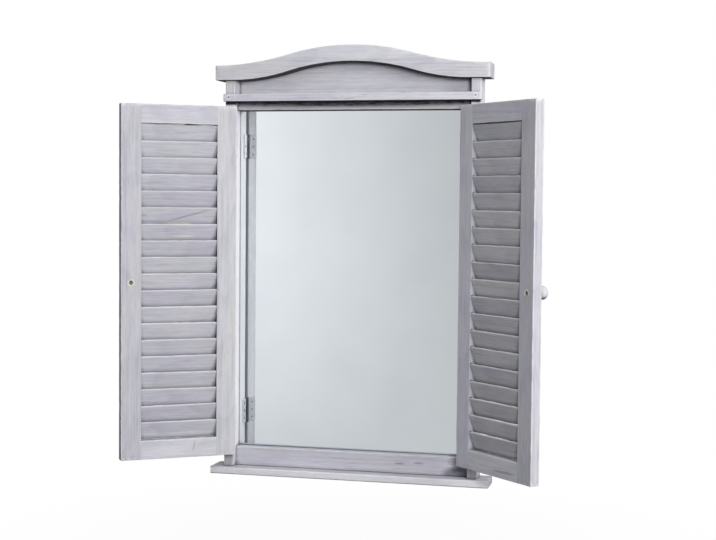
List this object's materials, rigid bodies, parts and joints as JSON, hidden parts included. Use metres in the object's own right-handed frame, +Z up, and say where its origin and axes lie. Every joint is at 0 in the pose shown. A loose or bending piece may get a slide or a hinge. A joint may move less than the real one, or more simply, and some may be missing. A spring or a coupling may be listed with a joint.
{
  "type": "shutter mirror",
  "caption": "Wall mirror framed like a small arched window, with louvred shutters that swing on butt hinges; it hangs from keyhole plates.",
  "frame": {"origin": "midway between the round ends of the two hanger keyholes, on the wall plane", "axes": "+X to the right as the viewer faces the mirror, +Y into the wall, +Z up"},
  "size_m": [0.6966, 0.193, 0.71],
  "materials": {
    "painted_wood": "whitewashed, rubbed back, matt",
    "painted_recess": "whitewashed, rubbed back, matt",
    "painted_slat": "whitewashed, edges rubbed, matt",
    "mirror": "polished silvered glass",
    "fibreboard": "plain hard fibreboard",
    "bare_wood": "bare beech",
    "steel": "zinc plated"
  },
  "bodies": {
    "root": {"left_post": "painted_wood", "right_post": "painted_wood", "sill_board": "painted_wood", "bottom_rail": "painted_recess", "lintel": "painted_recess", "crown_arch": "painted_wood", "crown_panel": "painted_recess", "crown_ledge": "painted_wood", "mirror_glass": "mirror", "back_board": "fibreboard", "ledge_nails": "steel", "sill_screws": "steel", "crown_dowels": "bare_wood", "frame_dowels": "bare_wood", "panel_screws": "steel", "board_brads": "steel", "left_hanger_plate": "steel", "right_hanger_plate": "steel", "hanger_screws": "steel", "left_upper_post_leaf": "steel", "left_lower_post_leaf": "steel", "right_upper_post_leaf": "steel", "right_lower_post_leaf": "steel", "left_upper_hinge_pin": "steel", "left_lower_hinge_pin": "steel", "right_upper_hinge_pin": "steel", "right_lower_hinge_pin": "steel", "left_post_leaf_screws": "steel", "right_post_leaf_screws": "steel"},
    "left_shutter": {"left_hinge_stile": "painted_wood", "left_free_stile": "painted_wood", "left_top_rail": "painted_wood", "left_bottom_rail": "painted_wood", "left_slats": "painted_slat", "left_upper_shutter_leaf": "steel", "left_lower_shutter_leaf": "steel", "left_shutter_leaf_screws": "steel", "left_knob": "painted_wood", "left_knob_screw": "steel"},
    "right_shutter": {"right_hinge_stile": "painted_wood", "right_free_stile": "painted_wood", "right_top_rail": "painted_wood", "right_bottom_rail": "painted_wood", "right_slats": "painted_slat", "right_upper_shutter_leaf": "steel", "right_lower_shutter_leaf": "steel", "right_shutter_leaf_screws": "steel", "right_knob": "painted_wood", "right_knob_screw": "steel"}
  },
  "joints": [
    {"name": "left_shutter_hinge", "type": "hinge", "parent": "root", "child": "left_shutter", "pos_m": [-0.1954, -0.0429, -0.325], "axis": [0, 0, -1], "range_deg": [-145, 35]},
    {"name": "right_shutter_hinge", "type": "hinge", "parent": "root", "child": "right_shutter", "pos_m": [0.1954, -0.0429, -0.325], "axis": [0, 0, 1], "range_deg": [-135, 45]}
  ]
}
